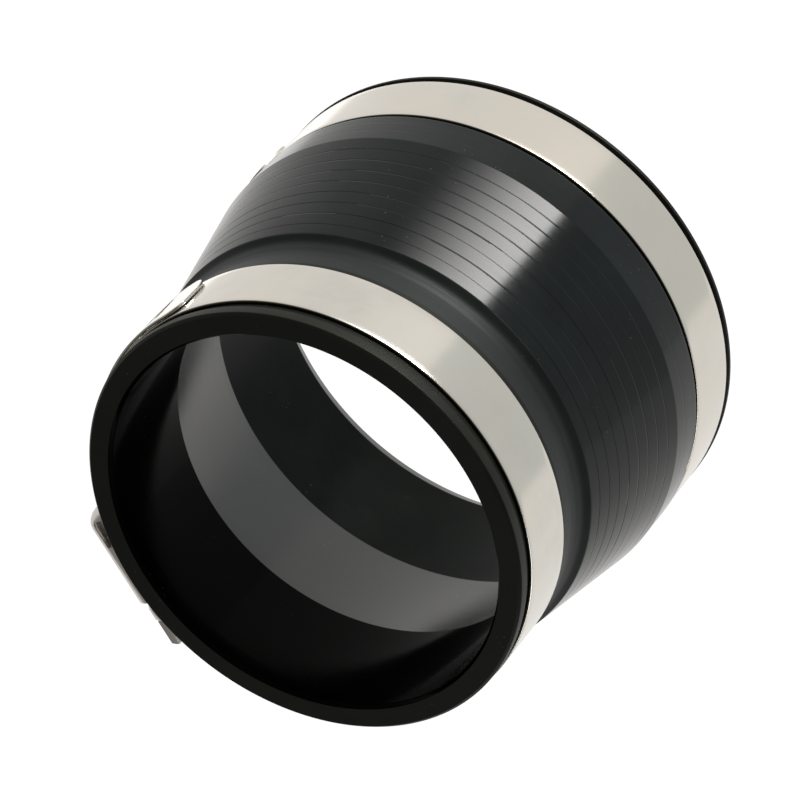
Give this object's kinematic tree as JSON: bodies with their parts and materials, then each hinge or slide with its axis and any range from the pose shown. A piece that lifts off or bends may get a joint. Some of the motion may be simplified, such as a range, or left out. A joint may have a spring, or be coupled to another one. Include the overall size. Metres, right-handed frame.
{
  "type": "stepped rubber pipe coupling",
  "caption": "Stepped black rubber sleeve that joins a smaller pipe to a larger one, with a stainless worm-drive band clamp around each end.",
  "frame": {"origin": "on the sleeve's axis in the plane of the large end; the centre of the bounding box's bottom is 1.0 mm away in X and 1.2 mm away in Y, because both worm housings stand out on the -X -Y side", "axes": "+Z along the sleeve's axis from the large end to the small end; both worm housings sit in the -X -Y quadrant"},
  "size_m": [0.1543, 0.1545, 0.121],
  "materials": {
    "rubber": "satin black moulded rubber",
    "small_band_steel": "satin stainless steel",
    "small_band_tail_steel": "satin stainless steel",
    "small_saddle_steel": "satin stainless steel",
    "small_housing_steel": "satin stainless steel",
    "small_worm_screw_steel": "satin stainless steel",
    "large_band_steel": "satin stainless steel",
    "large_band_tail_steel": "satin stainless steel",
    "large_saddle_steel": "satin stainless steel",
    "large_housing_steel": "satin stainless steel",
    "large_worm_screw_steel": "satin stainless steel"
  },
  "bodies": {
    "sleeve": {"rubber_sleeve": "rubber"},
    "small_clamp": {"small_band": "small_band_steel", "small_saddle": "small_saddle_steel", "small_housing": "small_housing_steel"},
    "small_screw": {"small_worm_screw": "small_worm_screw_steel"},
    "small_tail": {"small_band_tail": "small_band_tail_steel"},
    "large_clamp": {"large_band": "large_band_steel", "large_saddle": "large_saddle_steel", "large_housing": "large_housing_steel"},
    "large_screw": {"large_worm_screw": "large_worm_screw_steel"},
    "large_tail": {"large_band_tail": "large_band_tail_steel"}
  },
  "joints": [
    {"name": "small_clamp_turn", "type": "hinge", "parent": "sleeve", "child": "small_clamp", "pos_m": [0, 0, 0.1044], "axis": [0, 0, 1], "continuous": true},
    {"name": "small_screw_turn", "type": "hinge", "parent": "small_clamp", "child": "small_screw", "pos_m": [-0.05619, -0.04799, 0.1044], "axis": [-0.6494, 0.7604, 0], "range_deg": [0, 1440]},
    {"name": "small_tail_feed", "type": "hinge", "parent": "small_clamp", "child": "small_tail", "pos_m": [0, 0, 0.1044], "axis": [0, 0, -1], "range_deg": [0, 13.5]},
    {"name": "large_clamp_turn", "type": "hinge", "parent": "sleeve", "child": "large_clamp", "pos_m": [0, 0, 0.0135], "axis": [0, 0, 1], "continuous": true},
    {"name": "large_screw_turn", "type": "hinge", "parent": "large_clamp", "child": "large_screw", "pos_m": [-0.06179, -0.05467, 0.0135], "axis": [-0.6626, 0.749, 0], "range_deg": [0, 1440]},
    {"name": "large_tail_feed", "type": "hinge", "parent": "large_clamp", "child": "large_tail", "pos_m": [0, 0, 0.0135], "axis": [0, 0, -1], "range_deg": [0, 11.99]}
  ],
  "couplings": [
    {"joint": "small_tail_feed", "follows": "small_screw_turn", "ratio": 0.0093621},
    {"joint": "large_tail_feed", "follows": "large_screw_turn", "ratio": 0.008311}
  ]
}
